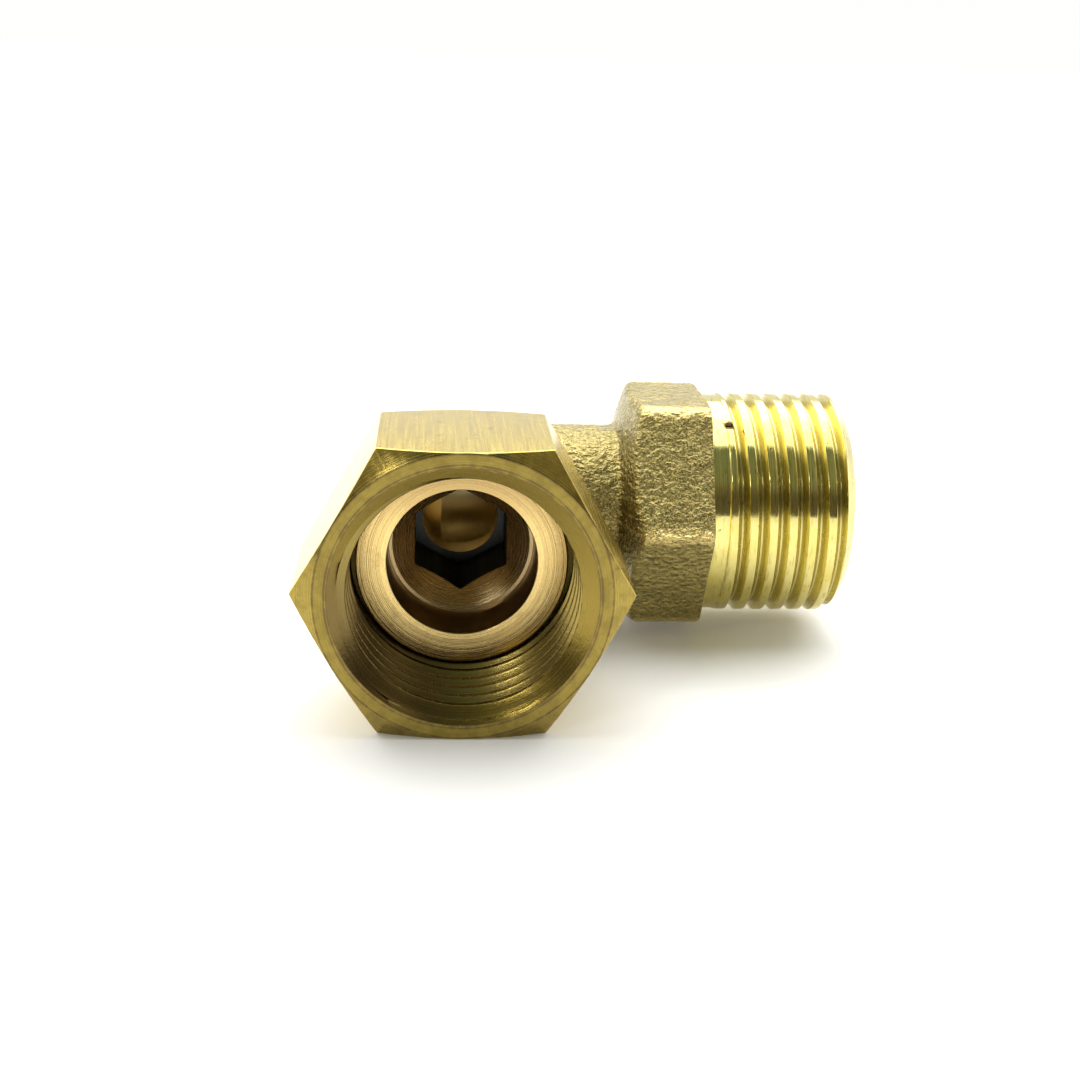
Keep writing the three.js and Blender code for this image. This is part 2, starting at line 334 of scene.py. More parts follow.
def smooth_shaded(piece, degrees=32):
    piece.data.shade_smooth()
    piece.data.set_sharp_from_angle(angle=math.radians(degrees))


# ---- the forging ----------------------------------------------------------------------------

def smooth_min(a, b, reach):
    overlap = np.maximum(reach - np.abs(a - b), 0) / reach
    return np.minimum(a, b) - overlap ** 2 * reach / 4


def smooth_max(a, b, reach):
    return -smooth_min(-a, -b, reach)


def lattice_noise(x, y, z, cell, seed):
    """Smooth noise from -1 to 1 that changes over one cell, in millimetres."""
    repeat = 32
    values = np.random.default_rng(seed).uniform(-1, 1, (repeat, repeat, repeat))
    total = np.zeros(np.broadcast(x, y, z).shape)
    wholes, shares = [], []
    for axis in (x, y, z):
        place = axis / cell + 1000
        whole = np.floor(place).astype(int)
        share = place - whole
        wholes.append(whole)
        shares.append(share * share * (3 - 2 * share))
    for corner in range(8):
        bits = [(corner >> k) & 1 for k in range(3)]
        weight = 1.0
        for bit, share in zip(bits, shares):
            weight = weight * (share if bit else 1 - share)
        spots = [(whole + bit) % repeat for bit, whole in zip(bits, wholes)]
        total += weight * values[tuple(np.broadcast_arrays(*spots))]
    return total


def cone_distance(x, radius, start, start_r, slope):
    """Distance outside a cone about the male axis that opens by slope for each millimetre out."""
    return (start + (radius - start_r) / slope - x) * slope / math.hypot(1, slope)


def collar_distance(x, y, z):
    """The collar: a hexagon with worn edges, drafted towards the neck and bevelled at both ends."""
    height = smooth_max(z, -z, PARTING_EDGE)
    sides = np.abs(y) * math.cos(SIXTH / 2) + height * math.sin(SIXTH / 2)
    hexagon = smooth_max(height, sides, WORN_EDGE) - COLLAR_HALF_FLATS
    radius = np.hypot(y, z)
    draft = cone_distance(x, radius, start=COLLAR_START + 1.1, start_r=8.07, slope=3.2)
    back_bevel = cone_distance(x, radius, start=COLLAR_START + 2.2, start_r=11.3, slope=1.35)
    front_bevel = cone_distance(-x, radius, start=-COLLAR_FACE, start_r=COLLAR_HALF_FLATS + 1.3, slope=1.0)
    face = x - COLLAR_FACE - FACING_ALLOWANCE
    collar = smooth_max(hexagon, smooth_max(draft, back_bevel, reach=0.3), reach=0.4)
    return smooth_max(smooth_max(collar, front_bevel, reach=0.25), face, reach=0.2)


def forging_distance(x, y, z):
    """Signed distance to the whole forging, less than zero inside."""
    about_x, about_y = np.hypot(y, z), np.hypot(x, z)
    neck = np.maximum(about_x - NECK_R, np.maximum(-x, x - NECK_END))
    ball = np.sqrt(x * x + y * y + z * z) - BALL_R
    swell = np.clip((-y - BOSS_SWELL_START) / BOSS_SWELL_LENGTH, 0, 1)
    boss_r = BOSS_WAIST_R + (BOSS_R - BOSS_WAIST_R) * swell * swell * (3 - 2 * swell)
    boss = np.maximum(about_y - boss_r, np.maximum(y, -y - BOSS_FACE - FACING_ALLOWANCE))
    elbow = smooth_min(smooth_min(neck, ball, reach=0.5), boss, reach=1.4)
    flash = FLASH_HEIGHT * np.exp(-(z / FLASH_HALF_WIDTH) ** 2)
    return smooth_min(elbow, collar_distance(x, y, z), reach=0.45) - flash


def forging():
    """The rough forging as a mesh, its skin uneven as the die and shot-blasting leave it."""
    margin = 1.0
    low = np.array([-BALL_R, -BOSS_FACE - 2 * FACING_ALLOWANCE, BODY_LOW[2]]) - margin
    high = np.array([COLLAR_FACE + 2 * FACING_ALLOWANCE, COLLAR_CORNER_R, BODY_HIGH[2]]) + margin
    counts = np.ceil((high - low) / FORGING_VOXEL).astype(int)
    x, y, z = (low[k] + FORGING_VOXEL * np.arange(counts[k]) for k in range(3))
    x, y, z = x[:, None, None], y[None, :, None], z[None, None, :]
    waves = SKIN_WAVE * lattice_noise(x, y, z, cell=1.1, seed=3)
    grit = SKIN_GRIT * lattice_noise(x, y, z, cell=0.5, seed=5)
    distance = forging_distance(x, y, z) + (waves + grit)
    far_outside = 10.0
    grid = openvdb.FloatGrid(far_outside)
    grid.copyFromArray(distance.astype(np.float32))
    points, quads = grid.convertToQuads(0.0)
    points = low + FORGING_VOXEL * np.asarray(points, float)
    return mesh_object("elbow_forging", points, np.asarray(quads, int))


# ---- elbow body -----------------------------------------------------------------------------

def male_end():
    """The machined bar on the male side: a plain band, then the thread and its end chamfer."""
    angles = even_angles()
    outline = thread_outline(THREAD_MAJOR_R, THREAD_ROOT_R, 0.12, 0.15)
    out, per_turn = helix_rows(outline, angles, THREAD_START, MALE_END, MALE_THREAD_PHASE)
    thread = thread_radius(outline, out, angles, MALE_THREAD_PHASE)
    run_out = np.clip((out - THREAD_START - 0.1) / RUN_OUT_LENGTH, 0, 1)
    band = np.minimum(BAND_R + (out - THREAD_START), THREAD_MAJOR_R)
    radius = band - (band - np.minimum(thread, band)) * run_out
    chamfer = MALE_END_R + (MALE_END - out) * (THREAD_MAJOR_R - MALE_END_R) / MALE_CHAMFER
    radius = np.minimum(radius, chamfer)
    root = COLLAR_FACE - 2.5
    before = outline_rows([(0, root, 0), (BAND_R, root, 0), (BAND_R, THREAD_START - 0.01, 0)], angles)
    after = outline_rows([(MALE_END_R - 0.06, MALE_END, 0), (0, MALE_END, 0)], angles)
    threaded = [np.array(pair) for pair in zip(radius, out)]
    helix = (len(before), len(before) + len(threaded) - 1, per_turn)
    return swept("male_end", MALE, angles, before + threaded + after, closed=False, helix=helix)


def male_bore():
    """The male port's bore: wide in the thread, narrow in the neck, with a drill point."""
    step = MALE_BORE_END - DRILL_POINT * (MALE_BORE_R - CROSS_BORE_R)
    return lathe("male_bore", MALE, [
        (0, CROSS_BORE_TIP, 0),
        (CROSS_BORE_R, CROSS_BORE_END, 0.15),
        (CROSS_BORE_R, step, 0.1),
        (MALE_BORE_R, MALE_BORE_END, 0.2),
        (MALE_BORE_R, MALE_END - MALE_BORE_LEAD, 0.1),
        (MALE_BORE_R + MALE_BORE_LEAD, MALE_END, 0.05),
        (MALE_BORE_R + MALE_BORE_LEAD + 1, MALE_END + 1, 0),
        (0, MALE_END + 1, 0),
    ])


def tail_bore():
    """The swivel port's bore, and the facing cut that leaves the boss flat."""
    return lathe("tail_bore", SWIVEL, [
        (0, 0, 0),
        (SHOULDER_HOLE_R, 0, 0),
        (SHOULDER_HOLE_R, SHOULDER, 0.08),
        (SCREW_HOLE_R, SHOULDER, 0.1),
        (SCREW_HOLE_R, SEAL_POCKET_FLOOR, 0.08),
        (SEAL_POCKET_R, SEAL_POCKET_FLOOR, 0.1),
        (SEAL_POCKET_R, BOSS_FACE, 0.08),
        (BOSS_R - BOSS_BEVEL, BOSS_FACE, 0.05),
        (BOSS_R + 1.5, BOSS_FACE - 1.5 - BOSS_BEVEL, 0),
        (BOSS_R + 1.5, BOSS_FACE + 2, 0),
        (0, BOSS_FACE + 2, 0),
    ])


def collar_facing():
    """A ring that cuts the collar's face flat."""
    angles = even_angles()
    inside, outside = BAND_R - 1, COLLAR_CORNER_R + 1
    corners = [(inside, COLLAR_FACE, 0), (outside, COLLAR_FACE, 0),
               (outside, COLLAR_FACE + 2, 0), (inside, COLLAR_FACE + 2, 0)]
    return swept("collar_facing", MALE, angles, outline_rows(corners, angles))


def is_machined(points):
    """Which points of the elbow lie on surfaces that were cut after forging."""
    x, y, z = points.T
    about_x, about_y, skin = np.hypot(y, z), np.hypot(x, z), 0.03
    out_of_collar = x > COLLAR_FACE - skin
    off_boss = (-y > BOSS_FACE - skin) & (about_y < BOSS_R + 1)
    cross = (about_x < CROSS_BORE_R + skin) & (x > CROSS_BORE_TIP - skin)
    wide = (about_x < MALE_BORE_R + skin) & (x > MALE_BORE_END - 2)
    hole = (about_y < SHOULDER_HOLE_R + skin) & (-y > 0)
    pocket = (about_y < SEAL_POCKET_R + skin) & (-y > SHOULDER - skin)
    near_rim = (-y > BOSS_FACE - BOSS_BEVEL - 0.05) & (about_y < BOSS_R + 1)
    rim = near_rim & (about_y - y > BOSS_FACE + BOSS_R - BOSS_BEVEL - skin)
    return out_of_collar | off_boss | cross | wide | hole | pocket | rim


def chip():
    """A small diamond that cuts the chip in the band, where the thread starts."""
    round_band = np.array([0, math.sin(CHIP_ANGLE), math.cos(CHIP_ANGLE)])
    lengthways = np.array([math.cos(CHIP_TILT), 0, 0]) - round_band * math.sin(CHIP_TILT)
    sideways = np.cross(CHIP_OUTWARDS, lengthways)
    tips = [lengthways * CHIP_LENGTH / 2, sideways * CHIP_WIDTH / 2, CHIP_OUTWARDS * CHIP_DEPTH]
    points = CHIP_CENTRE + np.array([tip * side for tip in tips for side in (1, -1)])
    faces = np.array([(a, b, c) for a in (0, 1) for b in (2, 3) for c in (4, 5)])
    return mesh_object("chip", points, faces)


def elbow_body():
    """The forging with its machined bar joined on, its faces and bores cut, and a material for each."""
    body = forging()
    combine(body, collar_facing(), "DIFFERENCE")
    combine(body, male_end(), "UNION")
    combine(body, chip(), "DIFFERENCE")
    combine(body, male_bore(), "DIFFERENCE")
    combine(body, tail_bore(), "DIFFERENCE")
    weld(body.data)
    body.name = "elbow_body_brass"
    smooth_shaded(body, degrees=38)
    polygons = body.data.polygons
    centres = np.empty(len(polygons) * 3)
    polygons.foreach_get("center", centres)
    body.data.materials.clear()
    body.data.materials.append(forged_brass())
    body.data.materials.append(cut_brass())
    machined = is_machined(centres.reshape(-1, 3) / MM)
    polygons.foreach_set("material_index", machined.astype(np.int32))
    return body


# ---- swivel nut -----------------------------------------------------------------------------

def swivel_nut():
    """The nut as one skin: out through its bore, over the face, down the flats and back in."""
    flat = SIXTH / 2
    angles = hex_angles(NUT_HALF_FLATS, NUT_CORNER_ROUNDING, flat, along=42)
    hexagon = hex_radius(angles, NUT_HALF_FLATS, NUT_CORNER_ROUNDING, flat)
    chamfer = NUT_CHAMFER_SLOPE * (hexagon - NUT_FACE_R)
    edge = hexagon * np.cos(angles), hexagon * np.sin(angles), 0 * angles
    burr = BURR_HEIGHT * np.abs(lattice_noise(*edge, cell=BURR_LENGTH, seed=7))
    outline = thread_outline(-THREAD_MINOR_R - 0.1, -THREAD_MAJOR_R)
    out, per_turn = helix_rows(outline, angles, NUT_THREAD_START, NUT_FRONT, NUT_THREAD_PHASE)
    thread = -thread_radius(outline, out, angles, NUT_THREAD_PHASE)
    sink = NUT_SINK_R - NUT_SINK_SLOPE * (NUT_FRONT - out)
    relief = NUT_RELIEF_R - NUT_RELIEF_SLOPE * np.maximum(out - NUT_THREAD_START, 0)
    radius = np.maximum(np.maximum(thread, sink), relief)
    inner = outline_rows([
        (NUT_LIP_R, NUT_BACK + 0.01, 0),
        (NUT_LIP_R, NUT_LIP, 0.12),
        (NUT_RELIEF_R, NUT_LIP, 0.2),
        (NUT_RELIEF_R, NUT_THREAD_START - 0.01, 0),
    ], angles)
    threaded = [np.array(pair) for pair in zip(radius, out)]
    outer = outline_rows([
        (NUT_SINK_R + 0.02, NUT_FRONT, 0),
        (NUT_FACE_R, NUT_FRONT, 0.1),
        (hexagon, NUT_FRONT - chamfer - burr, 0.2),
        (hexagon, NUT_BACK + chamfer, 0.14),
        (NUT_FACE_R, NUT_BACK, 0.1),
        (NUT_LIP_R + 0.15, NUT_BACK, 0),
    ], angles)
    helix = (len(inner), len(inner) + len(threaded) - 1, per_turn)
    nut = swept("swivel_nut_brass", SWIVEL, angles, inner + threaded + outer, helix=helix)
    smooth_shaded(nut)
    nut.data.materials.append(nut_brass())
    return nut


# ---- tail sleeve and seal -------------------------------------------------------------------

def tail_sleeve():
    """The turned tail, with the hexagonal key socket right through it."""
    flat = 0
    angles = hex_angles(SOCKET_HALF_FLATS, SOCKET_ROUNDING, flat, along=36)
    socket = hex_radius(angles, SOCKET_HALF_FLATS, SOCKET_ROUNDING, flat)
    rim_out = TAIL_BORE_END - TAIL_CONE_SLOPE * (TAIL_STEP_R - socket)
    sleeve = swept("tail_sleeve_brass", SWIVEL, angles, outline_rows([
        (TAIL_BORE_R, TAIL_FACE, 0.12),
        (TAIL_FLANGE_R, TAIL_FACE, 0.22),
        (TAIL_FLANGE_R, TAIL_FLANGE_BACK, 0.15),
        (TAIL_SHANK_R, TAIL_FLANGE_BACK, 0.15),
        (TAIL_SHANK_R, TAIL_SHOULDER, 0.2),
        (TAIL_SCREW_R, TAIL_SHOULDER, 0.1),
        (TAIL_SCREW_R, TAIL_END, 0.3),
        (socket, TAIL_END, 0.1),
        (socket, rim_out, 0.05),
        (TAIL_STEP_R, TAIL_BORE_END, 0.1),
        (TAIL_BORE_R, TAIL_BORE_END, 0.08),
    ], angles, closed=True))
    smooth_shaded(sleeve)
    sleeve.data.materials.append(faced_brass())
    return sleeve


def tail_seal():
    """The sealing ring, a round section with its moulding flash."""
    angles = even_angles(SEAL_STEPS)
    section_r = (SEAL_HIGH[1] - SEAL_LOW[1]) / 2
    ring_r = SEAL_HIGH[0] - section_r
    centre = -(SEAL_HIGH[1] + SEAL_LOW[1]) / 2
    turns = even_angles(SEAL_SECTION_STEPS)
    section = section_r * (1 - 0.06 * np.cos(2 * turns) ** 8)
    rows = [np.array([np.full(angles.shape, ring_r + r * math.cos(turn)),
                      np.full(angles.shape, centre + r * math.sin(turn))])
            for turn, r in zip(turns, section)]
    seal = swept("tail_seal_ring", SWIVEL, angles, rows)
    smooth_shaded(seal)
    seal.data.materials.append(seal_rubber())
    return seal


# ---- materials ------------------------------------------------------------------------------

class Nodes:
    """Makes and links the nodes of one tree."""

    def __init__(self, tree):
        self.tree = tree

    def node(self, kind, inputs=None, **settings):
        node = self.tree.nodes.new(kind)
        for key, value in settings.items():
            setattr(node, key, value)
        for key, value in (inputs or {}).items():
            self.feed(node.inputs[key], value)
        return node

    def feed(self, socket, value):
        if isinstance(value, bpy.types.NodeSocket):
            self.tree.links.new(value, socket)
        else:
            socket.default_value = value

    def split(self, vector):
        return self.node("ShaderNodeSeparateXYZ", {0: vector}).outputs

    def math(self, operation, a, b=0.0):
        return self.node("ShaderNodeMath", {0: a, 1: b}, operation=operation).outputs[0]

    def magnitude(self, value):
        return self.math("ABSOLUTE", value)

    def hypot(self, a, b):
        squares = self.math("ADD", self.math("MULTIPLY", a, a), self.math("MULTIPLY", b, b))
        return self.math("SQRT", squares)

    def weighted(self, a, share_a, b, share_b):
        """The sum of two values, each times its share."""
        return self.math("ADD", self.math("MULTIPLY", a, share_a), self.math("MULTIPLY", b, share_b))

    def between(self, value, low, high, to_low=0.0, to_high=1.0):
        """to_low where value is low, to_high where it is high, and an eased step between them."""
        return self.node("ShaderNodeMapRange", {
            "Value": value, "From Min": low, "From Max": high, "To Min": to_low, "To Max": to_high,
        }, interpolation_type="SMOOTHSTEP").outputs[0]

    def blend(self, factor, a, b):
        """Colour a where factor is 0, colour b where it is 1."""
        node = self.node("ShaderNodeMix", data_type="RGBA")
        for index, value in ((0, factor), (6, a), (7, b)):
            self.feed(node.inputs[index], (*value, 1.0) if isinstance(value, tuple) else value)
        return node.outputs[2]


class Shader(Nodes):
    """A material made of procedural nodes, which are given places and sizes in millimetres."""

    def __init__(self, name, **constants):
        self.material = bpy.data.materials.new(name)
        self.material.use_nodes = True
        super().__init__(self.material.node_tree)
        self.surface = self.tree.nodes["Principled BSDF"]
        for socket, value in constants.items():
            self.surface.inputs[socket.replace("_", " ")].default_value = value
        coordinates = self.node("ShaderNodeTexCoord").outputs
        self.place = self.scaled(coordinates["Object"], (1 / MM,) * 3)
        self.x, self.y, self.z = self.split(self.place)
        self.about_male = self.hypot(self.y, self.z)
        self.about_swivel = self.hypot(self.x, self.z)
        self.facing_swivel = self.magnitude(self.split(coordinates["Normal"])[1])

    def set(self, socket, value):
        self.feed(self.surface.inputs[socket], value)

    def scaled(self, vector, factors):
        node = self.node("ShaderNodeVectorMath", {0: vector, 1: factors}, operation="MULTIPLY")
        return node.outputs[0]

    def distance_from(self, point):
        node = self.node("ShaderNodeVectorMath", {0: self.place, 1: tuple(point)}, operation="DISTANCE")
        return node.outputs["Value"]

    def noise(self, size, detail=2.0, roughness=0.5, stretch=(1, 1, 1)):
        """Noise whose features are about this many millimetres, longer along a stretched axis."""
        vector = self.scaled(self.place, tuple(1 / (size * s) for s in stretch))
        return self.node("ShaderNodeTexNoise", {
            "Vector": vector, "Scale": 1.0, "Detail": detail, "Roughness": roughness,
        }).outputs["Fac"]

    def tool_marks(self, along, size):
        """Noise that changes only along one value, such as a radius: the marks of a turning tool."""
        return self.node("ShaderNodeTexNoise", {
            "W": self.math("MULTIPLY", along, 1 / size), "Scale": 1.0, "Detail": 3.0, "Roughness": 0.6,
        }, noise_dimensions="1D").outputs["Fac"]

    def score(self, radius, at, width=0.055):
        """A thin ring scored at this radius, as a mask."""
        off = self.magnitude(self.math("SUBTRACT", radius, at))
        return self.between(off, 2 * width, width)

    def cover_with_painted_shade(self, where, colour, painted_shade):
        """Colours the surface, and makes it metal except where it is painted black as shade."""
        self.set("Base Color", self.blend(where, colour, painted_shade))
        self.set("Metallic", self.math("SUBTRACT", 1.0, where))

    def bump(self, *layers):
        """Raises the surface by each layer's height, given with its depth in millimetres."""
        normal = None
        for height, depth in layers:
            inputs = {"Height": height, "Distance": depth * MM, "Strength": 1.0}
            if normal:
                inputs["Normal"] = normal
            normal = self.node("ShaderNodeBump", inputs).outputs[0]
        self.set("Normal", normal)


# Forged skin
FORGED_HOLLOW = (0.27, 0.22, 0.08)
FORGED_GRAIN = (0.40, 0.325, 0.118)
# Paler brass for rubbed wear, also used as a painted highlight along the collar's corners
FORGED_WORN_AND_HIGHLIT = (0.74, 0.59, 0.24)

# Brass cut on a lathe
CUT_BRASS = (0.74, 0.62, 0.18)
CUT_BRASS_PALE = (0.80, 0.70, 0.26)
CUT_BRASS_GROOVE_SHADE = (0.62, 0.54, 0.21)
CUT_BRASS_SMEAR = (0.52, 0.43, 0.12)
BORE_BRASS = (0.72, 0.58, 0.30)

# The nut's flats, end faces and thread, the thread darker as painted shade
FLAT_BRASS = (0.60, 0.45, 0.11)
FLAT_BRASS_BRIGHT = (0.69, 0.53, 0.125)
FLAT_BRASS_SPECK = (0.42, 0.33, 0.10)
FACE_BRASS = (0.285, 0.205, 0.045)
FACE_BRASS_WORN = (0.405, 0.30, 0.066)
FACE_BRASS_LINE = (0.20, 0.16, 0.055)
THREAD_BRASS_SHADED = (0.34, 0.26, 0.075)

# The tail
TAIL_BRASS = (0.94, 0.70, 0.275)
TAIL_BRASS_STAIN = (0.62, 0.42, 0.17)
TAIL_BRASS_SHADE = (0.50, 0.34, 0.14)
TAIL_BORE_BRASS = (0.48, 0.35, 0.18)

# Dirt, painted shade and rubber
# Dark brown for dirt, also used as painted shade in the nut's thread
DIRT_AND_SHADE = (0.16, 0.11, 0.045)
PAINTED_SHADE_BLACK = (0.012, 0.015, 0.013)
RUBBER = (0.012, 0.012, 0.013)
RUBBER_BLOOM = (0.03, 0.03, 0.032)


def forged_brass():
    """Shot-blasted forging: small rounded grains, dull between them and brighter where rubbed, with a
    painted highlight on the corners.
    """
    shader = Shader("forged_brass", Metallic=1.0)
    grains = shader.noise(0.4, roughness=0.55, stretch=(1.2, 1, 1))
    fine = shader.noise(0.15, roughness=0.6)
    dents = shader.noise(1.3)
    patches = shader.noise(3.5)
    colour = shader.blend(shader.between(grains, 0.3, 0.62), FORGED_HOLLOW, FORGED_GRAIN)
    dull = shader.between(patches, 0.4, 0.7, to_high=0.5)
    colour = shader.blend(dull, colour, FORGED_HOLLOW)
    # The collar's corners are painted paler, partly as rubbed wear and partly as a painted highlight; the
    # parting line is paler as rubbed wear.
    corner = shader.between(shader.about_male, COLLAR_CORNER_R - 0.6, COLLAR_CORNER_R - 0.15)
    parting = shader.between(shader.magnitude(shader.z), 0.2, 0.08, to_high=0.6)
    worn = shader.math("MAXIMUM", corner, parting)
    shader.set("Base Color", shader.blend(worn, colour, FORGED_WORN_AND_HIGHLIT))
    shader.set("Roughness", shader.between(grains, 0.35, 0.65, 0.32, 0.17))
    shader.bump((dents, 0.16), (grains, 0.33), (fine, 0.06))
    return shader.material


def cut_brass():
    """The elbow's machined surfaces: nearly polished, fine tool lines, dark in the bores; painted shade in
    thread grooves and on the shoulder.
    """
    shader = Shader("cut_brass", Metallic=1.0)
    lines = shader.tool_marks(shader.x, 0.1)
    smudge = shader.noise(2.2, detail=3.0)
    smears = shader.noise(0.5, detail=3.0, roughness=0.6, stretch=(0.5, 3, 3))
    specks = shader.noise(0.5, roughness=0.6)
    in_bore = shader.between(shader.about_male, MALE_BORE_R + 0.5, MALE_BORE_R + 0.1)
    # Painted shade: the thread's grooves are painted a darker, duller brass.
    in_groove = shader.between(shader.about_male, THREAD_MAJOR_R - 0.12, THREAD_MAJOR_R - 0.5)
    on_thread = shader.between(shader.x, THREAD_START, THREAD_START + 0.1)
    groove_shade = shader.math("MULTIPLY", in_groove, on_thread)
    # The chip, and a little round it, are painted dark.
    chipped = shader.between(shader.distance_from(CHIP_CENTRE), CHIP_WIDTH * 0.75, CHIP_WIDTH * 0.5)
    colour = shader.blend(shader.between(smudge, 0.4, 0.7), CUT_BRASS_PALE, CUT_BRASS)
    colour = shader.blend(shader.between(smears, 0.52, 0.7, to_high=0.75), colour, CUT_BRASS_SMEAR)
    colour = shader.blend(groove_shade, colour, CUT_BRASS_GROOVE_SHADE)
    colour = shader.blend(shader.between(specks, 0.7, 0.76), colour, DIRT_AND_SHADE)
    colour = shader.blend(in_bore, colour, BORE_BRASS)
    colour = shader.blend(chipped, colour, DIRT_AND_SHADE)
    # Painted shade: the shoulder and walls of the swivel port's screw hole are painted black and not metal.
    in_screw_hole = shader.between(shader.about_swivel, SCREW_HOLE_R + 0.4, SCREW_HOLE_R + 0.1)
    on_shoulder = shader.between(shader.y, -SHOULDER + 0.06, -SHOULDER + 0.02)
    shader.cover_with_painted_shade(shader.math("MULTIPLY", in_screw_hole, on_shoulder), colour, PAINTED_SHADE_BLACK)
    polish = shader.between(smudge, 0.3, 0.7, 0.08, 0.16)
    duller = shader.math("MAXIMUM", shader.math("MULTIPLY", groove_shade, 0.6), in_bore)
    shader.set("Roughness", shader.math("ADD", polish, shader.math("MULTIPLY", duller, 0.2)))
    shader.bump((lines, 0.012), (smudge, 0.012))
    return shader.material


def nut_brass():
    """The nut: drawn lines along its flats, turned rings on its faces, dirt here and there, and painted
    shade in its thread.
    """
    shader = Shader("nut_brass", Metallic=1.0)
    on_face = shader.between(shader.facing_swivel, 0.6, 0.75)
    rings = shader.tool_marks(shader.about_swivel, 0.1)
    drawn = shader.noise(0.2, detail=3.0, roughness=0.6, stretch=(1, 40, 1))
    marks = shader.blend(on_face, drawn, rings)
    patches = shader.noise(1.3, detail=4.0, roughness=0.7)
    colour = shader.blend(on_face, flat_colour(shader, drawn), face_colour(shader, rings, patches))
    inside = shader.between(shader.about_swivel, NUT_SINK_R + 0.1, NUT_SINK_R - 0.1)
    colour = shader.blend(inside, colour, bore_colour(shader))
    colour = shader.blend(shader.between(patches, 0.55, 0.8, to_high=0.5), colour, DIRT_AND_SHADE)
    shader.set("Base Color", colour)
    rough = shader.between(marks, 0.3, 0.7, 0.2, 0.28)
    square_on = shader.between(shader.facing_swivel, 0.9, 0.97)
    shader.set("Roughness", shader.math("ADD", rough, shader.math("MULTIPLY", square_on, 0.14)))
    shader.bump((marks, 0.005), (patches, 0.02))
    return shader.material


def flat_colour(shader, drawn):
    """The nut's flats, brighter along the drawn lines, with a few dull specks."""
    specks = shader.between(shader.noise(0.25), 0.66, 0.74, to_high=0.5)
    colour = shader.blend(shader.between(drawn, 0.3, 0.7), FLAT_BRASS, FLAT_BRASS_BRIGHT)
    return shader.blend(specks, colour, FLAT_BRASS_SPECK)


def face_colour(shader, rings, patches):
    """The nut's end faces and chamfers, with turned lines and a few scored rings, broken here and there."""
    colour = shader.blend(shader.between(patches, 0.35, 0.65), FACE_BRASS, FACE_BRASS_WORN)
    colour = shader.blend(shader.between(rings, 0.6, 0.4, to_high=0.45), colour, FACE_BRASS_LINE)
    scores = 0.0
    for at in (NUT_FACE_R - 0.04, NUT_SCORE_R, NUT_SINK_R + 0.03):
        scores = shader.math("MAXIMUM", scores, shader.score(shader.about_swivel, at))
    broken = shader.between(patches, 0.62, 0.4, 0.5, 1.0)
    return shader.blend(shader.math("MULTIPLY", scores, broken), colour, DIRT_AND_SHADE)


def bore_colour(shader):
    """The nut's countersink and thread, with painted shade in the grooves and on the lower left side."""
    # Painted shade: the thread is a darker brass, darkest in its grooves.
    shaded_groove = shader.between(shader.about_swivel, THREAD_MAJOR_R - 0.4, THREAD_MAJOR_R - 0.1)
    colour = shader.blend(shaded_groove, THREAD_BRASS_SHADED, DIRT_AND_SHADE)
    in_thread = shader.between(shader.y, -NUT_FRONT + 1.0, -NUT_FRONT + 1.2)
    colour = shader.blend(in_thread, FACE_BRASS, colour)
    # Painted shade: the lower left of the thread is painted darker.
    lower_left = shader.weighted(shader.x, -0.8, shader.z, -0.6)
    return shader.blend(shader.between(lower_left, 4.0, 9.0, to_high=0.8), colour, DIRT_AND_SHADE)


def faced_brass():
    """The tail: pinkish faced brass with concentric marks and stains, brown in its bore, painted shade up
    top and in its socket.
    """
    shader = Shader("faced_brass", Metallic=1.0)
    rings = shader.tool_marks(shader.about_swivel, 0.11)
    bands = shader.tool_marks(shader.about_swivel, 0.7)
    stain = shader.noise(1.3, detail=4.0, roughness=0.7)
    tone = shader.weighted(rings, 0.6, bands, 0.4)
    in_bore = shader.between(shader.about_swivel, TAIL_BORE_R + 0.12, TAIL_BORE_R + 0.02)
    colour = shader.blend(shader.between(tone, 0.36, 0.56), TAIL_BRASS_STAIN, TAIL_BRASS)
    colour = shader.blend(shader.between(stain, 0.52, 0.7, to_high=0.7), colour, TAIL_BRASS_STAIN)
    # Painted shade: the ring is painted darker towards its top.
    colour = shader.blend(shader.between(shader.z, 2.0, 7.5, to_high=0.9), colour, TAIL_BRASS_SHADE)
    colour = shader.blend(in_bore, colour, TAIL_BORE_BRASS)
    # Painted shade: the key socket's walls are painted black and not metal.
    in_socket = socket_mask(shader)
    shader.cover_with_painted_shade(in_socket, colour, PAINTED_SHADE_BLACK)
    polish = shader.between(rings, 0.3, 0.7, 0.2, 0.32)
    shader.set("Roughness", shader.math("ADD", polish, shader.math("MULTIPLY", in_socket, 0.4)))
    shader.bump((rings, 0.02), (stain, 0.012))
    return shader.material


def socket_mask(shader):
    """Where the tail's key socket is: inside the screw's radius and behind the cone it opens into."""
    within = shader.between(shader.about_swivel, TAIL_SCREW_R - 0.6, TAIL_SCREW_R - 0.8)
    behind = shader.weighted(shader.y, 1.0, shader.about_swivel, TAIL_CONE_SLOPE)
    cone = TAIL_CONE_SLOPE * TAIL_STEP_R - TAIL_BORE_END
    return shader.math("MULTIPLY", within, shader.between(behind, cone + 0.04, cone + 0.1))


def seal_rubber():
    """Black nitrile rubber, dull with a little bloom."""
    shader = Shader("seal_rubber", Metallic=0.0)
    bloom = shader.noise(0.5, detail=3.0, roughness=0.6)
    shader.set("Base Color", shader.blend(bloom, RUBBER, RUBBER_BLOOM))
    shader.set("Roughness", shader.between(bloom, 0.3, 0.7, 0.5, 0.75))
    shader.bump((bloom, 0.01))
    return shader.material


# ---- stage ----------------------------------------------------------------------------------

